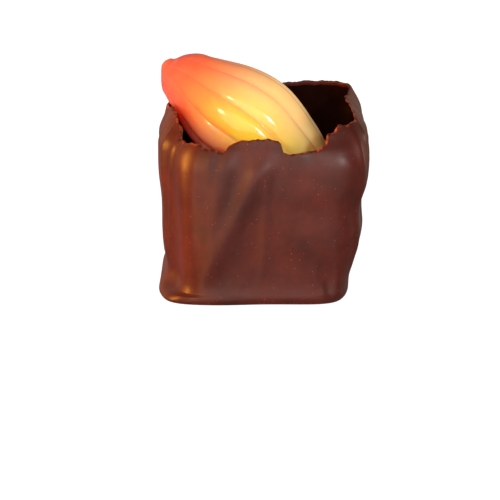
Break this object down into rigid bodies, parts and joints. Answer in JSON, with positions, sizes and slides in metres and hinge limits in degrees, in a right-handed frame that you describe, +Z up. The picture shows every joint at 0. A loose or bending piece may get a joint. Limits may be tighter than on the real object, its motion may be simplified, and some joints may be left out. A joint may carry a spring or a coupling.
{
  "type": "chocolate bonbon",
  "caption": "Square chocolate bonbon: a thin wavy chocolate cup with a broken rim, holding a tilted cocoa pod of coloured chocolate.",
  "frame": {"origin": "centre of the flat underside of the cup", "axes": "+Z up, -Y towards the front wall with the broken tab, +X to the viewer's right"},
  "size_m": [0.033, 0.033, 0.0361],
  "materials": {
    "chocolate": "satin",
    "coloured_chocolate": "gloss"
  },
  "bodies": {
    "root": {"cup": "chocolate", "cocoa_pod": "coloured_chocolate"}
  },
  "joints": []
}
